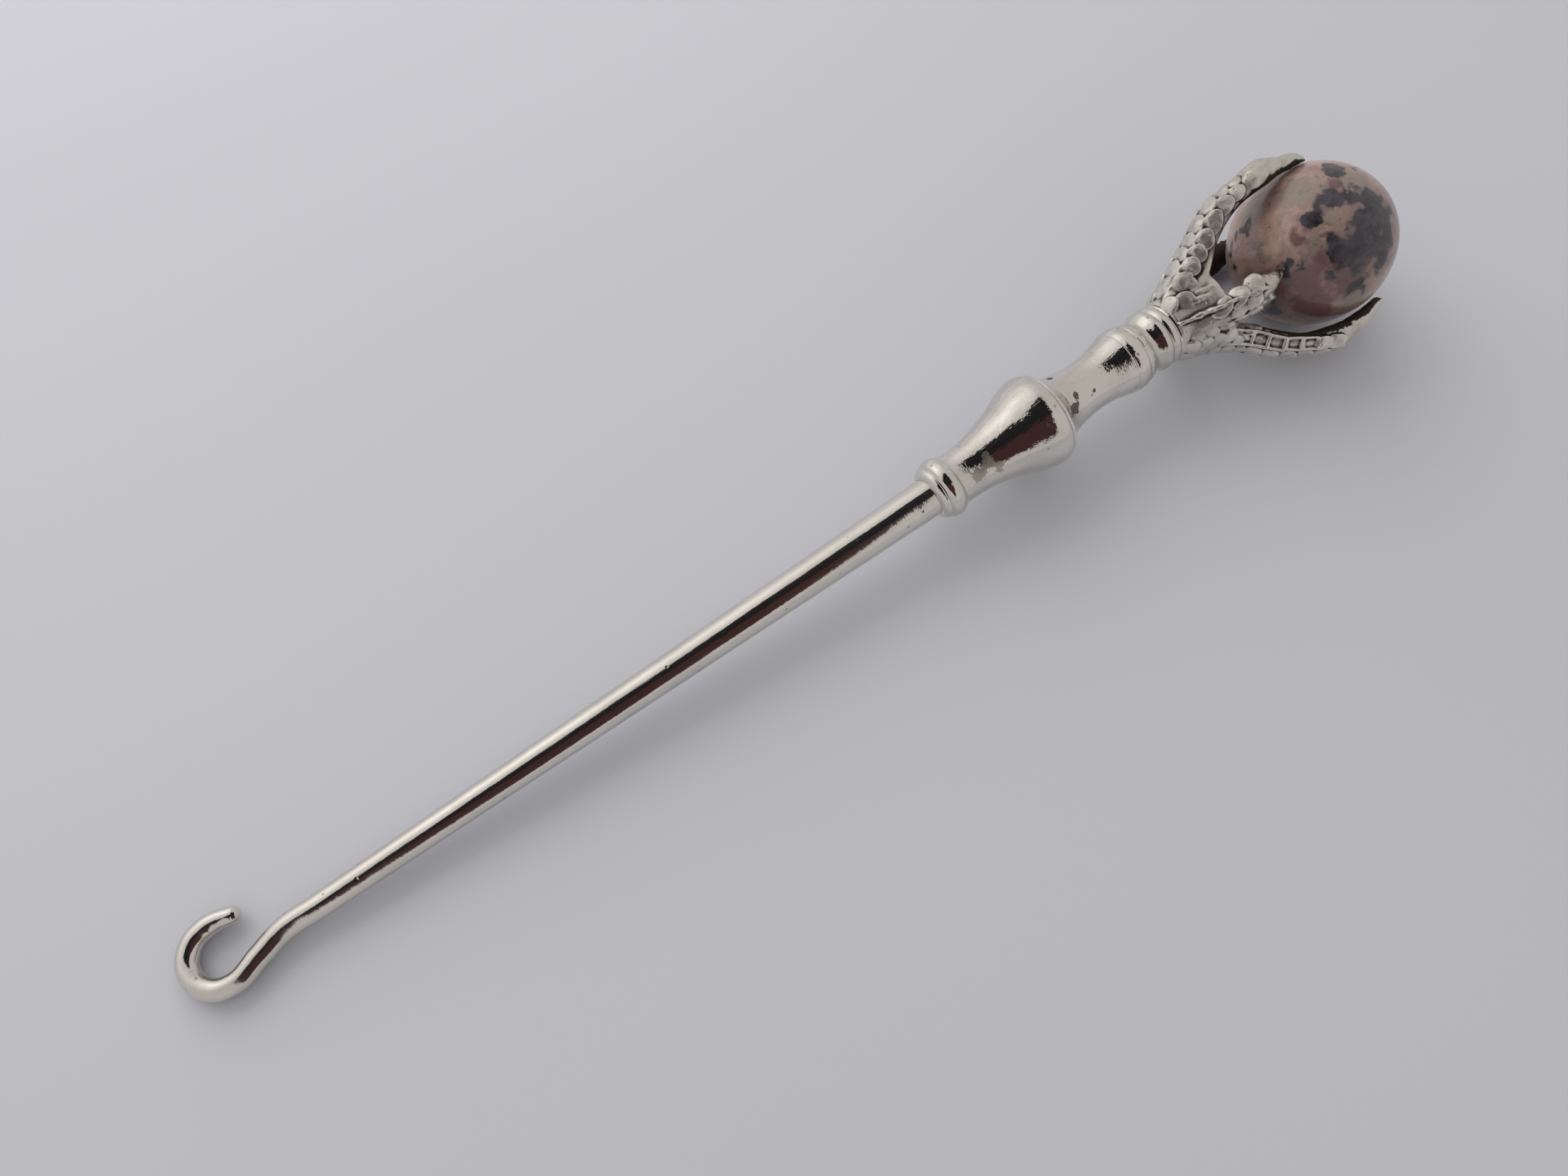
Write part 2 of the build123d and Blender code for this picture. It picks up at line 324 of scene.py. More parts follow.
def metal_finish(name, colour, roughness, patch=150.0, pit=900.0, share=0.3, pit_depth=0.25,
                 skin=1.0, tarnish=(0.42, 0.38, 0.33), tarnish_share=0.35, dark_hollows_and_shade=False, worn=False):
    """Old worn metal: clean and tarnished patches, pits, scratches, darker hollows, and painted shade where it lies
    near the ball and faces it.
    """
    finish, tree, shader = new_finish(name)
    shader.inputs["Metallic"].default_value = 1.0
    wear = put(tree, "ShaderNodeGroup", {"node_tree": METAL_WEAR},
               Patch_Size=patch, Pit_Size=pit, Pit_Share=share)
    patches = maths(tree, "MULTIPLY", wear.outputs["Tarnish"], tarnish_share)
    base = mix(tree, patches, colour, tarnish)
    rough = maths(tree, "MULTIPLY_ADD", wear.outputs["Tarnish"], roughness * 0.6, roughness)
    rough = maths(tree, "MULTIPLY_ADD", wear.outputs["Skin"], 0.03 * skin, rough)
    rough = maths(tree, "MULTIPLY_ADD", wear.outputs["Scratches"], 0.05, rough)
    base = mix(tree, maths(tree, "MULTIPLY", wear.outputs["Pits"], 0.6), base, (0.10, 0.085, 0.07))
    if worn:
        rubbed = put(tree, "ShaderNodeAttribute", {"attribute_name": "rubbed"}).outputs["Fac"]
        torn = maths(tree, "MULTIPLY_ADD", maths(tree, "SUBTRACT", wear.outputs["Skin"], 0.5), 1.6, rubbed)
        dull = ramp(tree, torn, (0.5, 0.0), (0.54, 1.0))
        base = mix(tree, maths(tree, "MULTIPLY", dull, 0.75), base, (0.40, 0.36, 0.31))
        rough = maths(tree, "MULTIPLY_ADD", dull, 0.3, rough)
        eaten = put(tree, "ShaderNodeAttribute", {"attribute_name": "eaten"}).outputs["Fac"]
        torn = maths(tree, "MULTIPLY_ADD", maths(tree, "SUBTRACT", wear.outputs["Skin"], 0.5), 2.2, eaten)
        bare = ramp(tree, torn, (0.52, 0.0), (0.6, 1.0))
        base = mix(tree, maths(tree, "MULTIPLY", bare, 0.85), base, (0.09, 0.065, 0.05))
        rough = maths(tree, "MULTIPLY_ADD", bare, 0.4, rough)
    # Raised parts lighter and smoother, hollows darker, and painted shade near the ball
    if dark_hollows_and_shade:
        hollow = put(tree, "ShaderNodeAttribute", {"attribute_name": "hollow"}).outputs["Fac"]
        proud = ramp(tree, hollow, (0.40, 0.5), (0.48, 0.0))
        base = mix(tree, proud, base, (0.80, 0.755, 0.69))
        rough = maths(tree, "MULTIPLY_ADD", proud, -0.08, rough)
        dark = ramp(tree, hollow, (0.52, 0.0), (0.66, 1.0))
        # Painted shade: near_ball darkens the claw between toe and ball, with ragged edges from noise
        near = put(tree, "ShaderNodeAttribute", {"attribute_name": "near_ball"}).outputs["Fac"]
        place = put(tree, "ShaderNodeTexCoord").outputs["Object"]
        ragged = put(tree, "ShaderNodeTexNoise", Vector=place, Scale=1400.0, Detail=4.0, Roughness=0.7)
        reach = maths(tree, "MULTIPLY_ADD", maths(tree, "SUBTRACT", ragged.outputs["Fac"], 0.5), 1.6, near)
        dark = maths(tree, "MAXIMUM", dark, ramp(tree, reach, (0.56, 0.0), (0.63, 1.0)))
        base = mix(tree, maths(tree, "MULTIPLY", dark, 0.95), base, (0.045, 0.035, 0.03))
        rough = maths(tree, "MULTIPLY_ADD", dark, 0.3, rough)
    tree.links.new(base, shader.inputs["Base Color"])
    tree.links.new(rough, shader.inputs["Roughness"])
    height = maths(tree, "MULTIPLY_ADD", wear.outputs["Scratches"], -0.05,
                   maths(tree, "MULTIPLY", wear.outputs["Pits"], -1.0))
    height = maths(tree, "MULTIPLY_ADD", wear.outputs["Skin"], skin, height)
    bump = put(tree, "ShaderNodeBump", Strength=pit_depth, Distance=0.0002, Height=height)
    tree.links.new(bump.outputs[0], shader.inputs["Normal"])
    return finish


def marked(piece, name, points, marks):
    """Stores how far each point lies inside one of the marks: 1 at its middle, 0.5 at its edge."""
    inside = np.zeros(len(points))
    for spot, size in marks:
        away = np.linalg.norm(points - np.array(spot), axis=1)
        inside = np.maximum(inside, 1 / (1 + (away / size) ** 2))
    piece.data.attributes.new(name, "FLOAT", "POINT").data.foreach_set("value", inside)


def hollows(piece, passes=30, deepest=0.2):
    """Stores how deep each point lies in a groove, from 0.5 on a flat to 1 in a deep one."""
    mesh = piece.data
    count = len(mesh.vertices)
    place, normal = np.empty(count * 3), np.empty(count * 3)
    mesh.vertices.foreach_get("co", place)
    mesh.vertices.foreach_get("normal", normal)
    place, normal = place.reshape(-1, 3), normal.reshape(-1, 3)
    ends = np.empty(len(mesh.edges) * 2, int)
    mesh.edges.foreach_get("vertices", ends)
    a, b = ends.reshape(-1, 2).T
    share = np.bincount(a, minlength=count) + np.bincount(b, minlength=count)
    smooth = place.copy()
    for _ in range(passes):
        total = np.stack([np.bincount(a, smooth[b, k], count) + np.bincount(b, smooth[a, k], count)
                          for k in range(3)], axis=1)
        smooth = 0.5 * smooth + 0.5 * total / share[:, None]
    depth = ((smooth - place) * normal).sum(axis=1)
    layer = mesh.attributes.new("hollow", "FLOAT", "POINT")
    layer.data.foreach_set("value", np.clip(0.5 + 0.5 * depth / deepest, 0, 1))


# Hook and shaft

def hook_shaft():
    """A round wire drawn along the hook's line, thinner or thicker from point to point."""
    bpy.ops.object.select_all(action="DESELECT")
    bpy.ops.curve.primitive_bezier_curve_add()
    wire = bpy.context.object
    line = wire.data.splines[0]
    tip = Vector((BEND_X + 2.9, BEND_Y + BEND_R - 0.48, 0))
    nose = Vector((0.94, -0.34, 0))
    bend = [Vector((BEND_X + BEND_R * cos(a), BEND_Y + BEND_R * sin(a), 0))
            for a in (pi / 2, 3 * pi / 4, pi, 5 * pi / 4, 3 * pi / 2)]
    points = [(tip + nose * TIP_R * sin(a), max(TIP_R * cos(a), 0.02))
              for a in (pi / 2, radians(75), radians(58), radians(38), radians(18), 0)]
    points += [(place, WIRE_R) for place in bend]
    points += [(Vector((-91.65, -1.0, 0)), 1.36), (Vector((-88.0, 0, 0)), 1.44)]
    points += [(Vector((x, 0, 0)), 1.44 + (x + 88) / 88 * 1.06) for x in (-84, -66, -44, -22, -4, 0)]
    points += [(Vector((x, x * sin(radians(HANDLE_SET)), 0)), r)
               for x, r in ((3.9, 2.5), (4.0, 1.9), (14.0, 1.5), (23.9, 1.1), (24.0, 0.02))]
    line.bezier_points.add(len(points) - 2)
    for point, (place, r) in zip(line.bezier_points, points):
        point.co, point.radius = place, r
        point.handle_left_type = point.handle_right_type = "AUTO"
    wire.data.bevel_depth = 1.0
    wire.data.bevel_resolution = 14
    line.resolution_u = 12
    line.radius_interpolation = "LINEAR"
    wire.data.dimensions = "3D"
    wire.data.twist_mode = "MINIMUM"
    wire.data.use_fill_caps = True
    only(wire)
    bpy.ops.object.convert(target="MESH")
    wire = bpy.context.object
    edit(wire)
    bpy.ops.mesh.remove_doubles(threshold=0.0005)
    bpy.ops.mesh.normals_make_consistent(inside=False)
    done_editing()
    worn_uneven(wire, 0.35, 0.035)
    bpy.ops.object.shade_smooth()
    return wire


# Handle

HANDLE_OUTLINE = [
    (0.0, 2.5, "corner"), (0.12, 2.95, "soft"), (0.55, 3.42, "soft"), (0.85, 3.5, "soft"),
    (1.0, 3.42, "corner"), (1.35, 3.80, "soft"), (2.05, 3.98, "soft"), (2.8, 3.83, "soft"),
    (3.2, 3.55, "corner"), (3.4, 3.44, "soft"), (6.2, 3.41, "soft"), (11.6, 4.52, "soft"),
    (15.2, 5.88, "soft"), (17.0, 6.16, "soft"), (17.8, 5.98, "soft"), (18.2, 5.66, "corner"),
    (18.45, 5.66, "corner"), (18.55, 5.3, "corner"), (19.9, 4.32, "soft"), (22.6, 3.62, "soft"),
    (26.0, 3.42, "soft"), (30.0, 4.2, "corner"), (30.15, 4.12, "soft"), (30.4, 4.25, "soft"),
    (31.2, 4.38, "soft"), (31.95, 4.26, "soft"), (32.15, 4.12, "soft"), (32.4, 4.14, "soft"),
    (33.0, 3.95, "corner"), (33.9, 3.6, "soft"), (34.4, 3.7, "soft"), (35.4, 4.12, "soft"),
    (36.0, 4.0, "soft"), (36.15, 3.88, "soft"), (36.35, 3.98, "soft"), (36.8, 4.06, "soft"),
    (37.2, 3.98, "soft"), (37.35, 3.86, "soft"), (37.6, 3.95, "corner"),
    (37.6, 2.3, "corner"), (30.6, 2.3, "corner"), (30.6, 0.0, "corner"), (25.0, 0.0, "corner"),
    (25.0, 2.5, "corner"), (0.0, 2.5, "corner"),
]


# Marks on the handle: place along, distance from the axis, turn from the top towards -y, size
RUBBED_MARKS = [(5.6, 3.4, 40, 1.0), (7.4, 3.5, 30, 1.0), (8.6, 3.8, 45, 0.7), (4.6, 3.4, 170, 1.2), (26.0, 3.4, 200, 1.4)]
EATEN_MARKS = [(20.0, 4.3, 38, 0.9), (21.4, 3.9, 20, 0.6), (24.0, 3.5, 36, 0.25), (22.9, 3.5, 23, 0.2), (27.4, 3.7, 79, 0.3),
               (20.5, 4.1, -39, 0.3), (15.4, 5.9, 30, 0.3), (9.4, 3.9, 24, 0.35), (20.4, 4.2, 190, 0.9)]


def handle():
    """The turned outline, drawn as one curve and screwed once round the handle's axis."""
    bpy.ops.object.select_all(action="DESELECT")
    bpy.ops.curve.primitive_bezier_curve_add()
    outline = bpy.context.object
    line = outline.data.splines[0]
    line.resolution_u = 7
    line.bezier_points.add(len(HANDLE_OUTLINE) - 2)
    for point, (x, r, kind) in zip(line.bezier_points, HANDLE_OUTLINE):
        point.co = (x, 0, r)
        point.handle_left_type = point.handle_right_type = "VECTOR" if kind == "corner" else "AUTO"
    only(outline)
    bpy.ops.object.convert(target="MESH")
    turned = bpy.context.object
    edit(turned)
    bpy.ops.mesh.remove_doubles(threshold=0.001)
    done_editing()
    apply(turned, "SCREW", axis="X", angle=2 * pi, steps=144, render_steps=144,
          use_merge_vertices=True, merge_threshold=0.001)
    edit(turned)
    bpy.ops.mesh.delete_loose(use_verts=True, use_edges=True, use_faces=False)
    bpy.ops.mesh.select_all(action="SELECT")
    bpy.ops.mesh.normals_make_consistent(inside=False)
    if bmesh.from_edit_mesh(turned.data).calc_volume(signed=True) < 0:
        bpy.ops.mesh.flip_normals()
    done_editing()
    worn_uneven(turned, 0.3, 0.05)
    bpy.ops.object.shade_smooth_by_angle(angle=radians(40))
    points = np.array([point.co for point in turned.data.vertices])
    for name, marks in (("rubbed", RUBBED_MARKS), ("eaten", EATEN_MARKS)):
        marked(turned, name, points, [((x, -r * sin(radians(turn)), r * cos(radians(turn))), size)
                                      for x, r, turn, size in marks])
    return turned


# Claw

def scale_shape():
    """One flat round scale, 1 long and 1 wide, with a soft rim and a lightly domed face."""
    bpy.ops.object.select_all(action="DESELECT")
    bpy.ops.mesh.primitive_cylinder_add(vertices=28, radius=0.5, depth=1)
    scale = bpy.context.object
    edit(scale)
    bpy.ops.mesh.bevel(offset=0.07, segments=3, affect="EDGES")
    mesh = bmesh.from_edit_mesh(scale.data)
    for face in mesh.faces:
        face.select_set(face.normal.z > 0.99)
    for rise in (0.10, 0.07, 0.03):
        bpy.ops.mesh.inset(thickness=0.11)
        bpy.ops.transform.translate(value=(0, 0, rise))
    done_editing()
    return scale


def plate_shape():
    """One squarish plate with a raised rim and a hollow face."""
    bpy.ops.object.select_all(action="DESELECT")
    bpy.ops.mesh.primitive_cube_add(size=1)
    plate = bpy.context.object
    edit(plate)
    bpy.ops.mesh.bevel(offset=0.12, segments=3, affect="EDGES")
    mesh = bmesh.from_edit_mesh(plate.data)
    for face in mesh.faces:
        face.select_set(face.normal.z > 0.99)
    bpy.ops.mesh.inset(thickness=0.02)
    bpy.ops.mesh.inset(thickness=0.06)
    bpy.ops.transform.translate(value=(0, 0, -0.28))
    done_editing()
    return plate


def knuckle_shape():
    """Rounded knuckle, 1 long, 1 wide and 1 high."""
    bpy.ops.object.select_all(action="DESELECT")
    bpy.ops.mesh.primitive_uv_sphere_add(segments=32, ring_count=20, radius=0.5)
    return bpy.context.object


def copy_to(shape, matrix):
    """A copy with its own mesh, placed by a matrix."""
    twin = shape.copy()
    twin.data = shape.data.copy()
    bpy.context.collection.objects.link(twin)
    twin.data.transform(matrix)
    return twin


def on_toe(fine, x, off_top):
    """Spot, outward direction and direction along, at x and off_top degrees round a toe's section."""
    i = max(k for k in range(len(fine) - 1) if k == 0 or fine[k][0] <= x)
    here = fine[i] + (fine[i + 1] - fine[i]) * (x - fine[i][0]) / (fine[i + 1][0] - fine[i][0])
    ahead = fine[i + 1] - fine[i]
    along = Vector((ahead[0], 0, ahead[1])).normalized()
    out, side = Vector((-along.z, 0, along.x)), Vector((0, 1, 0))
    a, wide, thick = radians(off_top), here[2], here[3]
    spot = Vector((here[0], 0, here[1])) + side * (wide / 2 * sin(a)) + out * (thick / 2 * cos(a))
    return spot, (side * sin(a) * thick + out * cos(a) * wide).normalized(), along


def laid(shape, spot, up, along, size, lift, tip_up):
    """A scale laid on a surface, sunk by the lift and tipped up at its far end."""
    basis = Matrix((along, up.cross(along), up)).transposed().to_4x4()
    basis.translation = spot + up * lift
    return copy_to(shape, basis @ Matrix.Rotation(radians(-tip_up), 4, "Y") @ Matrix.Diagonal((*size, 1)))


def scale_row(fine, shape, places, off_top, width, height, overlap=1.42, lift=-0.28, tip_up=9):
    """A row of one scale along a toe, each as long as its share of the row, narrower where the toe is."""
    row = []
    for i, x in enumerate(places):
        spot, up, along = on_toe(fine, x, off_top)
        near = on_toe(fine, places[i + 1] if i + 1 < len(places) else x + 1.8, off_top)[0]
        wide = width * min(1, float(np.interp(x, [f[0] for f in fine], [f[2] for f in fine])) / 4.2)
        row.append(laid(shape, spot, up, along, ((near - spot).length * overlap, wide, height), lift, tip_up))
    return row


def turned_to(pieces, angle, lean=0.0):
    """Joins a toe's pieces and turns them round the claw's axis, by a lean more with each mm."""
    whole = join(pieces, "toe") if len(pieces) > 1 else pieces[0]
    for point in whole.data.vertices:
        point.co = Matrix.Rotation(radians(-angle - lean * (point.co.x - 8)), 3, "X") @ point.co
    return whole


def palm():
    """Round palm extruded from the handle's end, with a thin rim and a dark hollow towards the ball."""
    bpy.ops.object.select_all(action="DESELECT")
    bpy.ops.mesh.primitive_circle_add(vertices=64, radius=3.96, fill_type="NGON",
                                      rotation=(0, pi / 2, 0), location=(0.15, 0, 0))
    body = bpy.context.object
    bpy.ops.object.transform_apply(location=True, rotation=True)
    edit(body)
    for step, grow in ((0.6, 1.02), (1.2, 1.05), (1.4, 1.08), (1.5, 1.1), (1.5, 1.08), (0.7, 1.0)):
        bpy.ops.mesh.extrude_region_move(TRANSFORM_OT_translate={"value": (step, 0, 0)})
        bpy.ops.transform.resize(value=(1, grow, grow), center_override=(0, 0, 0))
    for rim, depth in ((0.7, 0.0), (0.7, -1.6), (0.9, -0.9), (1.1, -0.4)):
        bpy.ops.mesh.inset(thickness=rim)
        bpy.ops.transform.translate(value=(depth, 0, 0))
    done_editing()
    return body


def seam():
    """Cast seam that runs up the palm to the hind toe, where the two halves of the mould met."""
    ridge = drawn_out(finer([(0.3, 4.0, 0.5, 0.5), (2.6, 4.55, 0.7, 0.9), (5.0, 5.4, 0.6, 0.9),
                             (8.0, 6.4, 0.5, 0.8), (11.5, 7.1, 0.5, 0.7)], 5), sides=10)
    for point in ridge.data.vertices:
        point.co += 0.25 * shake(point.co * 1.3)
    return turned_to([ridge], HIND_TOE_ANGLE + 10, lean=-1.0)


def folds():
    """Slanting folds of skin on the palm, between the upper toe and the seam."""
    bars = []
    for angle, x in ((-9, 1.5), (-16, 2.8), (-6, 3.6)):
        r = 4.05 + 0.24 * x
        bar = drawn_out(rounded_end(finer([(x, r - 0.25, 0.3, 0.3), (x + 0.9, r, 0.9, 0.5),
                                           (x + 2.6, r + 0.3, 0.6, 0.4)], 4)), sides=10)
        bars.append(turned_to([bar], angle, lean=-2.5))
    return bars


def palm_scales(scale, casting):
    """Scales on the palm itself, at the roots of the toes, each where a ray to the axis meets it."""
    places = [(0.9, 15, 2.2), (2.5, 4, 2.4), (4.1, 20, 2.0)]
    for i, angle in enumerate([*range(-128, -50, 13), *range(76, 210, 15)]):
        places += [(1.3 + 0.8 * (i % 2) + 1.6 * k, angle, 1.9) for k in range(4)]
    scales = []
    for x, angle, size in places:
        out = Vector((0, sin(radians(angle)), cos(radians(angle))))
        hit, spot, up, _ = casting.ray_cast(out * 12 + Vector((x, 0, 0)), -out)
        along = (Vector((1, 0, 0)) - up * up.x).normalized()
        scales.append(laid(scale, spot, up, along, (size * 1.15, size, 0.7), -0.2, 8))
    return scales


def fore_rows(scale, plate, knuckle):
    """Scales of the upper toe and of the one it lies on: along the back and down both flanks."""
    rows = [(scale, (3.1, 5.1, 6.8, 8.1, 9.6, 11.6, 13.6, 15.4), 0, 2.6, 0.8),
            (knuckle, (18.4,), 0, 3.7, 1.7, 2.4, -0.62, 4)]
    for side in (-57, 57):
        rows.append((scale, (2.2, 4.1, 6.0, 7.4, 8.7, 10.4, 12.6, 14.6), side, 2.5, 0.9))
        rows.append((knuckle, (17.7,), side, 3.3, 1.8, 2.4, -0.6, 4))
    return rows


def open_rows(scale, plate, knuckle):
    """Square plates along the back and flanks of the open toe, with a row of scales between them."""
    rows = [(scale, (6.8, 8.3, 9.9, 11.6, 13.4, 15.3, 17.3, 19.2), 0, 2.3, 0.8, 1.42, -0.42)]
    for side in (-1, 1):
        rows.append((scale, (6.0, 7.4, 9.0), side * 104, 1.9, 0.7))
        rows.append((plate, (7.1, 8.7, 10.3, 11.9, 13.8, 15.7), side * 64, 2.1, 0.8, 1.12, -0.22, 0))
        rows.append((scale, (17.2, 18.9), side * 60, 2.2, 0.8))
    return rows


def hind_rows(scale, plate, knuckle):
    """Scales on the upper flank of the hind toe and below its seam."""
    return [
        (scale, (5.9, 8.0, 10.2), 52, 3.2, 0.9),
        (scale, (5.8, 7.6, 9.4, 11.2), -66, 2.3, 0.9),
        (scale, (7.6, 9.6), -8, 2.0, 0.7, 1.1, -0.26, 2),
    ]


def claw():
    """Smooth palm and toes, then nails, scales and seam on them, made one worn casting."""
    toes = [
        (FORE_TOE, FORE_NAIL, WIDE_WEB, fore_rows, RESTING_TOE_ANGLE, 0),
        (FORE_TOE, FORE_NAIL, WEB, fore_rows, UPPER_TOE_ANGLE, 0),
        (OPEN_TOE, OPEN_NAIL, WEB, open_rows, OPEN_TOE_ANGLE, 0),
        (HIND_TOE, HIND_NAIL, None, hind_rows, HIND_TOE_ANGLE, 1.3),
    ]
    flesh = [palm()]
    for stations, _, web, _, angle, lean in toes:
        body = [drawn_out(rounded_end(finer(stations, 6)))]
        if web:
            body.append(drawn_out(rounded_end(finer(web, 5))))
        flesh.append(turned_to(body, angle, lean))
    casting = join(flesh, "claw")
    apply(casting, "REMESH", mode="VOXEL", voxel_size=0.2, adaptivity=0.0)
    apply(casting, "SMOOTH", factor=0.5, iterations=8)
    shapes = scale_shape(), plate_shape(), knuckle_shape()
    parts = [casting, seam(), *folds(), *palm_scales(shapes[0], casting)]
    for stations, nail, _, rows, angle, lean in toes:
        fine = finer(stations, 6)
        detail = [drawn_out(rounded_end(finer(nail, 5)))]
        for row in rows(*shapes):
            detail += scale_row(fine, *row)
        parts.append(turned_to(detail, angle, lean))
        for point in parts[-1].data.vertices:
            point.co += 0.16 * shake(point.co * 0.9)
    for shape in shapes:
        bpy.data.objects.remove(shape)
    casting = join(parts, "claw")
    apply(casting, "REMESH", mode="VOXEL", voxel_size=0.11, adaptivity=0.0)
    apply(casting, "SMOOTH", factor=0.5, iterations=2)
    apply(casting, "DECIMATE", ratio=0.6)
    centre = Vector((BALL_X, 0, 0))
    # Painted shade: near_ball rises close to the ball and on faces turned towards it, for the claw's finish to darken
    normals = [point.normal.copy() for point in casting.data.vertices]
    near = casting.data.attributes.new("near_ball", "FLOAT", "POINT")
    for point, normal, mark in zip(casting.data.vertices, normals, near.data):
        away = point.co - centre
        mark.value = 0.7 * max(0.0, 1 - (away.length - BALL_R) / 6) - 1.2 * normal.dot(away.normalized())
        if away.length < BALL_R + 0.01:
            point.co = centre + away.normalized() * (BALL_R + 0.01)
    hollows(casting)
    only(casting)
    bpy.ops.object.shade_smooth()
    return casting


# Stone ball

# Marks on the near side of the stone: place right, place up and size, in ball radii
DARK_MARKS = [
    (-0.06, 0.34, 0.12), (0.06, 0.47, 0.11), (0.21, 0.56, 0.13), (0.38, 0.50, 0.12), (0.62, 0.46, 0.22),
    (0.80, 0.23, 0.22), (0.55, 0.22, 0.16), (0.55, -0.04, 0.26), (0.80, -0.10, 0.20), (0.26, -0.03, 0.11),
    (0.26, -0.16, 0.06), (0.28, -0.39, 0.06), (0.60, -0.46, 0.12), (0.14, 0.87, 0.12), (-0.33, -0.81, 0.14),
    (-0.22, -0.29, 0.05), (-0.10, -0.28, 0.04), (-0.33, -0.30, 0.04), (-0.76, 0.20, 0.06),
    (-0.86, 0.09, 0.05), (-0.92, -0.04, 0.07), (-0.84, -0.30, 0.06), (0.42, 0.85, 0.06), (0.66, 0.30, 0.16),
]
# Red-brown marks: partly the stone's colour, partly painted shade that darkens the lower right of the ball
RED_AND_SHADE_MARKS = [(-0.05, -0.45, 0.28), (0.14, -0.72, 0.30), (0.42, -0.40, 0.26), (0.12, -0.27, 0.12), (-0.12, 0.05, 0.09), (0.18, 0.71, 0.09),
             (-0.35, -0.52, 0.22)]
GREY_MARKS = [(-0.75, 0.42, 0.26), (-0.18, 0.66, 0.20), (0.45, 0.68, 0.22), (0.17, 0.28, 0.13), (0.62, -0.62, 0.24),
              (-0.93, -0.22, 0.16), (0.05, -0.03, 0.1), (-0.55, -0.1, 0.09)]
BALL_RIGHT, BALL_UP = Vector((0.6613, -0.7007, 0.2680)), Vector((0.4476, 0.6553, 0.6087))


def facing_marks(marks):
    """Places of the marks as directions from the ball's middle, on the near side and the far one."""
    facing = BALL_RIGHT.cross(BALL_UP)
    for side in (1, -1):
        for right, up, size in marks:
            ahead = max(1 - right ** 2 - up ** 2, 0) ** 0.5
            yield ((BALL_RIGHT * right + BALL_UP * up) * side + facing * ahead * side).normalized(), size


def stone_ball():
    """Ball ground and polished by hand, a few hundredths out of round."""
    bpy.ops.object.select_all(action="DESELECT")
    bpy.ops.mesh.primitive_ico_sphere_add(subdivisions=7, radius=BALL_R, location=(BALL_X, 0, 0))
    ball = bpy.context.object
    set_place(ball, Matrix.Identity(4))
    centre = Vector((BALL_X, 0, 0))
    directions = []
    for point in ball.data.vertices:
        away = (point.co - centre).normalized()
        point.co = centre + away * (BALL_R - 0.05 * (0.5 + 0.5 * noise.noise(away * 2.2)))
        bent = away + 0.13 * shake(away * 4.5, 4)
        directions.append(bent.normalized())
    directions = np.array(directions)
    for name, marks in (("dark", DARK_MARKS), ("red", RED_AND_SHADE_MARKS), ("grey", GREY_MARKS)):
        marked(ball, name, directions, facing_marks(marks))
    only(ball)
    bpy.ops.object.shade_smooth()
    return ball


def granite_finish():
    """Polished granite: salmon ground with grey and dark mineral marks, and red-brown marks that are partly mineral
    colour and partly painted shade towards the ball's lower right.
    """
    finish, tree, shader = new_finish("granite")
    place = put(tree, "ShaderNodeTexCoord").outputs["Object"]

    def grain(scale, detail=5.0, roughness=0.65):
        return put(tree, "ShaderNodeTexNoise", Vector=place, Scale=scale, Detail=detail,
                   Roughness=roughness).outputs["Fac"]

    def mark(name, scale, amount, low, high):
        inside = put(tree, "ShaderNodeAttribute", {"attribute_name": name}).outputs["Fac"]
        torn = maths(tree, "MULTIPLY_ADD", maths(tree, "SUBTRACT", grain(scale), 0.5), amount, inside)
        return ramp(tree, torn, (low, 0.0), (high, 1.0))

    colour = ramp(tree, grain(260.0, 8.0, 0.7), (0.34, (0.26, 0.16, 0.135)), (0.5, (0.385, 0.24, 0.20)),
                  (0.64, (0.46, 0.335, 0.28)))
    veined = ramp(tree, grain(190.0, 7.0, 0.7), (0.46, 0.0), (0.60, 0.75))
    colour = mix(tree, veined, colour, (0.20, 0.14, 0.135))
    colour = mix(tree, mark("grey", 380.0, 1.3, 0.36, 0.7), colour, (0.24, 0.195, 0.155))
    # Red-brown marks, partly painted shade
    colour = mix(tree, mark("red", 320.0, 1.1, 0.3, 0.7), colour, (0.16, 0.085, 0.08))
    colour = mix(tree, maths(tree, "MULTIPLY", mark("dark", 260.0, 1.5, 0.28, 0.62), 0.7), colour, (0.12, 0.085, 0.09))
    ink = ramp(tree, grain(700.0, 6.0, 0.7), (0.38, (0.018, 0.015, 0.022)), (0.66, (0.075, 0.062, 0.078)))
    colour = mix(tree, mark("dark", 420.0, 1.2, 0.42, 0.6), colour, ink)
    flecks = ramp(tree, grain(1100.0, 6.0, 0.75), (0.56, 0.0), (0.66, 0.6))
    colour = mix(tree, flecks, colour, (0.05, 0.038, 0.038))
    tree.links.new(colour, shader.inputs["Base Color"])
    tree.links.new(maths(tree, "MULTIPLY_ADD", grain(700.0), 0.25, 0.14), shader.inputs["Roughness"])
    shader.inputs["Coat Weight"].default_value = 0.25
    shader.inputs["Coat Roughness"].default_value = 0.12
    return finish


def pitch_finish():
    """Dark pitch round the tang."""
    finish, tree, shader = new_finish("pitch")
    place = put(tree, "ShaderNodeTexCoord").outputs["Object"]
    lumps = put(tree, "ShaderNodeTexNoise", Vector=place, Scale=900.0, Detail=4.0)
    tree.links.new(ramp(tree, lumps.outputs["Fac"], (0.35, (0.012, 0.009, 0.007)), (0.7, (0.05, 0.035, 0.025))),
                   shader.inputs["Base Color"])
    shader.inputs["Roughness"].default_value = 0.45
    bump = put(tree, "ShaderNodeBump", Strength=0.4, Distance=0.0002, Height=lumps.outputs["Fac"])
    tree.links.new(bump.outputs[0], shader.inputs["Normal"])
    return finish


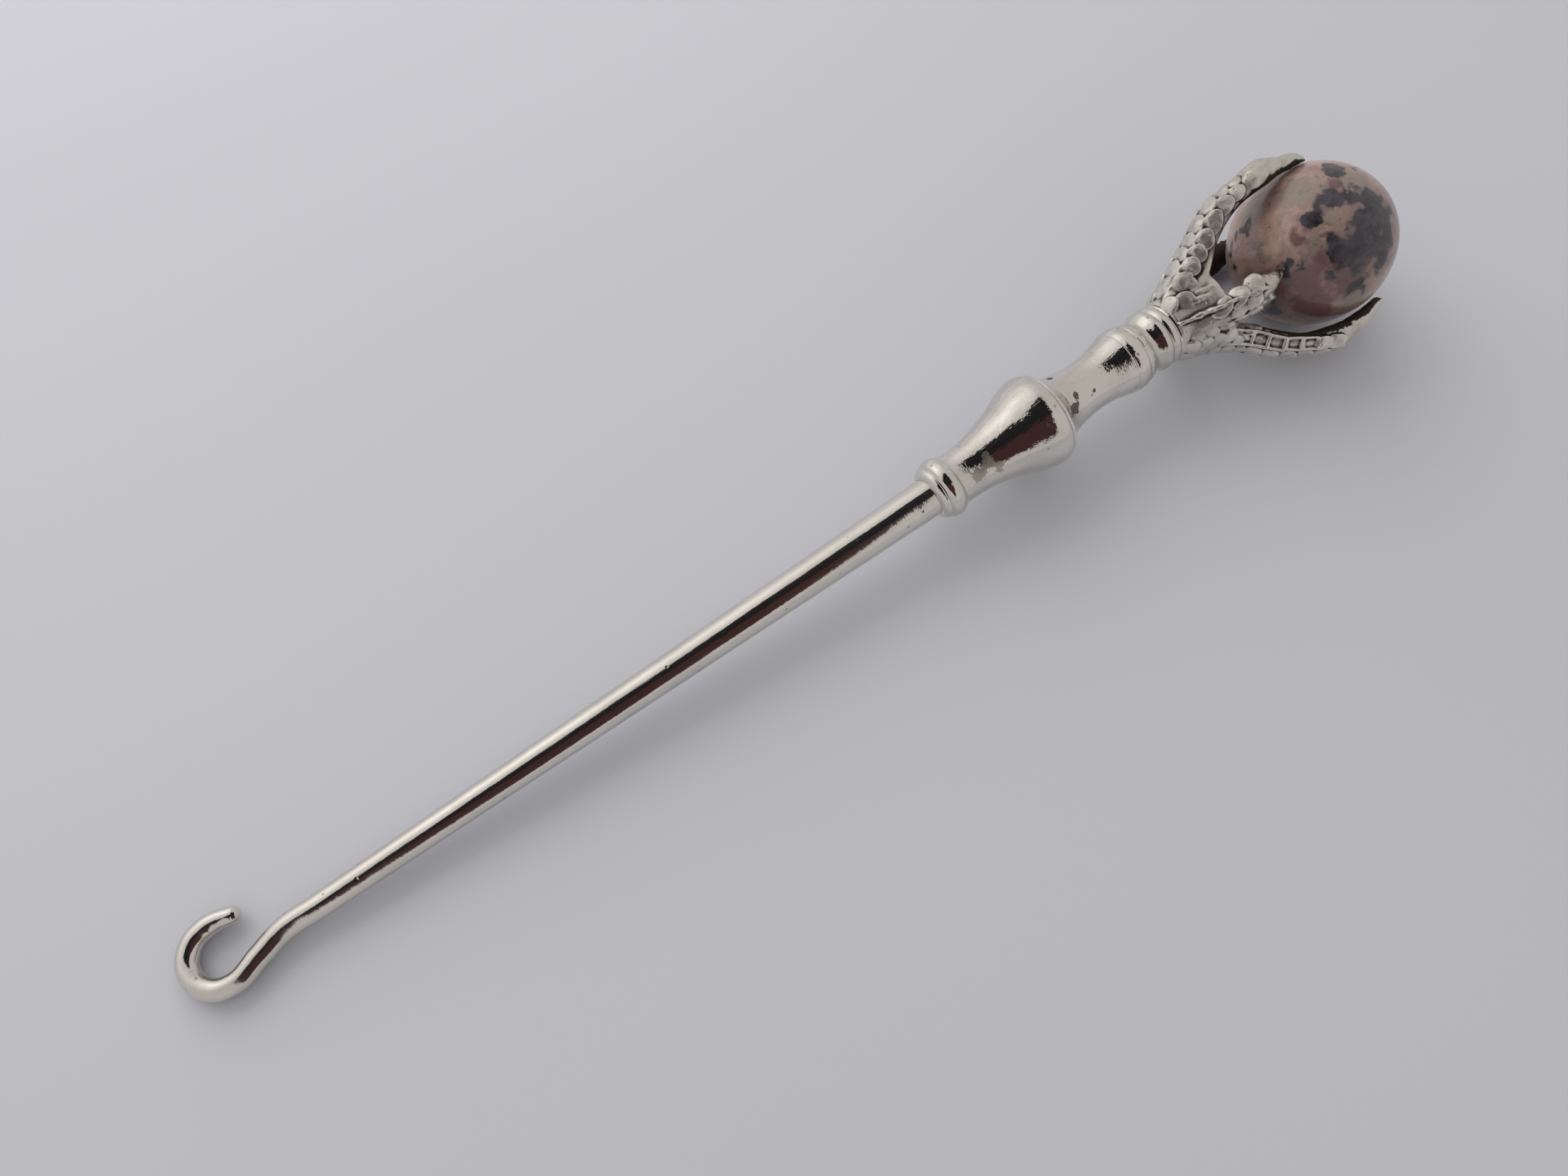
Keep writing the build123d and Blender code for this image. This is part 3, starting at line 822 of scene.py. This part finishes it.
STEEL = metal_finish("plated steel", (0.78, 0.745, 0.70), 0.085, patch=120.0, pit=1300.0, share=0.03, skin=0.5,
                     tarnish_share=0.2)
WHITE_METAL = metal_finish("plated casting", (0.78, 0.745, 0.70), 0.035, patch=170.0, pit=1100.0, share=0.08,
                           skin=1.4, worn=True)
CLAW_METAL = metal_finish("claw casting", (0.67, 0.64, 0.595), 0.335, patch=240.0, pit=1600.0, share=0.15,
                          pit_depth=0.4, skin=1.5,
                          dark_hollows_and_shade=True)

seat(hook_shaft(), "hook_and_shaft", "hook_shaft", IN_SHAFT, STEEL)
seat(handle(), "turned_handle", "handle", IN_HANDLE, WHITE_METAL)
seat(claw(), "eagle_claw", "claw", IN_CLAW, CLAW_METAL)
seat(stone_ball(), "granite_ball", "stone_ball", IN_CLAW, granite_finish())
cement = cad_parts["tang_cement"]
cement.data.materials.clear()
cement.data.materials.append(pitch_finish())


# Floor, light and camera

def floor():
    """Plain pale table top."""
    bpy.ops.object.select_all(action="DESELECT")
    bpy.ops.mesh.primitive_plane_add(size=6)
    table = bpy.context.object
    table.name = "floor"
    finish, tree, shader = new_finish("pale table")
    place = put(tree, "ShaderNodeTexCoord").outputs["Object"]
    cloud = put(tree, "ShaderNodeTexNoise", Vector=place, Scale=3.0, Detail=2.0)
    tree.links.new(ramp(tree, cloud.outputs["Fac"], (0.3, (0.58, 0.59, 0.645)), (0.7, (0.61, 0.62, 0.675))),
                   shader.inputs["Base Color"])
    shader.inputs["Roughness"].default_value = 0.6
    table.data.materials.append(finish)


ROOM_COLOUR, ROOM_LIGHT = (1.0, 0.975, 0.945), 0.55


def glow_card(name, place, size, strength, colour):
    """Big white screen aimed at the object, brightest in its middle and fading to its edges."""
    bpy.ops.object.select_all(action="DESELECT")
    bpy.ops.mesh.primitive_plane_add(size=2, location=place)
    card = bpy.context.object
    card.name = name
    card.scale = (size[0] / 2, size[1] / 2, 1)
    card.rotation_euler = (-Vector(place)).to_track_quat("Z", "Y").to_euler()
    finish, tree, shader = new_finish(name)
    place = put(tree, "ShaderNodeTexCoord").outputs["Object"]
    fade = put(tree, "ShaderNodeTexGradient", {"gradient_type": "QUADRATIC_SPHERE"}, Vector=place)
    shader.inputs["Base Color"].default_value = (0, 0, 0, 1)
    shader.inputs["Emission Color"].default_value = (*colour, 1)
    tree.links.new(maths(tree, "MULTIPLY_ADD", fade.outputs["Fac"], strength, ROOM_LIGHT), shader.inputs["Emission Strength"])
    card.data.materials.append(finish)
    card.visible_camera = False


def lamp(power):
    """Broad light from the window's side, for the table's tone and soft shadows."""
    light = bpy.data.lights.new("daylight", "AREA")
    light.shape, light.size, light.size_y, light.energy = "RECTANGLE", 0.6, 0.5, power
    lit = bpy.data.objects.new("daylight", light)
    bpy.context.collection.objects.link(lit)
    lit.location = (0.02, 0.40, 0.22)
    lit.rotation_euler = (-lit.location).to_track_quat("-Z", "Y").to_euler()
    lit.visible_glossy = False


def dark_card(name, corners, height, shade):
    """Dark card over the table that only shows as a reflection in the metal."""
    bpy.ops.object.select_all(action="DESELECT")
    bpy.ops.mesh.primitive_plane_add(size=1, location=(0, 0, height))
    card = bpy.context.object
    card.name = name
    for point, corner in zip(card.data.vertices, corners):
        point.co = (*corner, 0)
    finish, tree, shader = new_finish(name)
    shader.inputs["Base Color"].default_value = (*shade, 1)
    shader.inputs["Roughness"].default_value = 0.9
    card.data.materials.append(finish)
    card.visible_camera = card.visible_diffuse = card.visible_shadow = False


def camera():
    """Camera over the table, near the hook's side, looking down along the shaft."""
    eye = bpy.data.cameras.new("camera")
    eye.sensor_width, eye.lens = 36, 26.04
    eye.clip_start = 0.005
    seen = bpy.data.objects.new("camera", eye)
    bpy.context.collection.objects.link(seen)
    right = Vector((0.8209, -0.568, -0.0581))
    back = Vector((-0.1564, -0.3216, 0.9339))
    axes = Matrix((right, back.cross(right), back)).transposed()
    seen.matrix_world = Matrix.Translation(IN_SHAFT @ Vector((-42.1474, -42.7807, 126.0815))) @ (
        turn_down.to_3x3() @ axes).to_4x4()
    bpy.context.scene.camera = seen


floor()
camera()
glow_card("window", (-0.3, 1.0, 0.75), (3.4, 2.8), 0.75, ROOM_COLOUR)
lamp(1.4)
dark_card("dark card", ((-0.148, -0.062), (0.066, -0.062), (-0.148, 0.004), (0.066, 0.056)), 0.15, (0.014, 0.013, 0.015))
dark_card("brown card", ((-0.148, -0.62), (0.05, -0.34), (-0.148, -0.062), (0.05, -0.062)), 0.15, (0.10, 0.036, 0.032))
world = bpy.data.worlds.new("room")
world.use_nodes = True
world.node_tree.nodes["Background"].inputs["Color"].default_value = (*ROOM_COLOUR, 1)
world.node_tree.nodes["Background"].inputs["Strength"].default_value = ROOM_LIGHT
bpy.context.scene.world = world
bpy.context.scene.view_settings.view_transform = "Standard"
